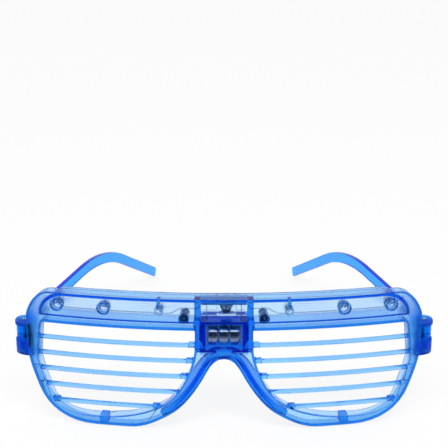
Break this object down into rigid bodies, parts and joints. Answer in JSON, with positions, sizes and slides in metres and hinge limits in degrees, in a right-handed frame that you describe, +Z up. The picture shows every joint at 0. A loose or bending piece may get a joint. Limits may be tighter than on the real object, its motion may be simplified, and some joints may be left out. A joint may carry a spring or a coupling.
{
  "type": "light up party glasses",
  "caption": "Clear blue party glasses with slats for lenses, small lamps in the brow, a battery box and push button behind the bridge, and folding arms.",
  "frame": {"origin": "middle of the underside of the open glasses: the rims and the arm tips stand on Z = 0", "axes": "+X to the right seen from in front, the front faces -Y, the arms run back along +Y, +Z up"},
  "size_m": [0.1504, 0.1512, 0.05],
  "materials": {
    "clear_blue": "clear moulded plastic, glossy",
    "pale_clear": "clear moulded plastic, slightly hazy",
    "deep_blue": "clear moulded plastic, glossy",
    "lamp_clear": "clear lamp resin",
    "cell_steel": "plated steel",
    "steel": "plated steel",
    "dark_steel": "blackened steel",
    "wire": "enamelled wire",
    "board": "coated board",
    "black_plastic": "black moulded plastic"
  },
  "bodies": {
    "front": {"front_frame": "clear_blue", "rear_cover": "pale_clear", "led_1": "lamp_clear", "led_2": "lamp_clear", "led_3": "lamp_clear", "led_4": "lamp_clear", "led_5": "lamp_clear", "led_6": "lamp_clear", "led_7": "lamp_clear", "led_wire_positive_right": "wire", "led_wire_negative_right": "wire", "led_wire_positive_left": "wire", "led_wire_negative_left": "wire", "circuit_board": "board", "switch_body": "black_plastic", "cell_1": "cell_steel", "cell_2": "cell_steel", "cell_3": "cell_steel", "battery_contact_right": "steel", "battery_contact_left": "steel", "battery_wire_right": "wire", "battery_wire_left": "wire", "cover_screw_right": "dark_steel", "cover_screw_left": "dark_steel", "hinge_pin_right": "steel", "hinge_pin_left": "steel"},
    "temple_right": {"temple_right": "clear_blue"},
    "temple_left": {"temple_left": "clear_blue"},
    "door": {"battery_door": "clear_blue"},
    "button": {"push_button": "deep_blue", "switch_plunger": "dark_steel"}
  },
  "joints": [
    {"name": "temple_right_fold", "type": "hinge", "parent": "front", "child": "temple_right", "pos_m": [0.07212, -0.0584, 0.03], "axis": [0, 0, 1], "range_deg": [0, 73]},
    {"name": "temple_left_fold", "type": "hinge", "parent": "front", "child": "temple_left", "pos_m": [-0.07212, -0.0584, 0.03], "axis": [0, 0, -1], "range_deg": [0, 66]},
    {"name": "battery_door_pull", "type": "slide", "parent": "front", "child": "door", "axis": [0, 1, 0], "range_m": [0, 0.004]},
    {"name": "push_button_press", "type": "slide", "parent": "front", "child": "button", "axis": [0, -1, 0], "range_m": [0, 0.0005], "stiffness_N_per_m": 300}
  ]
}
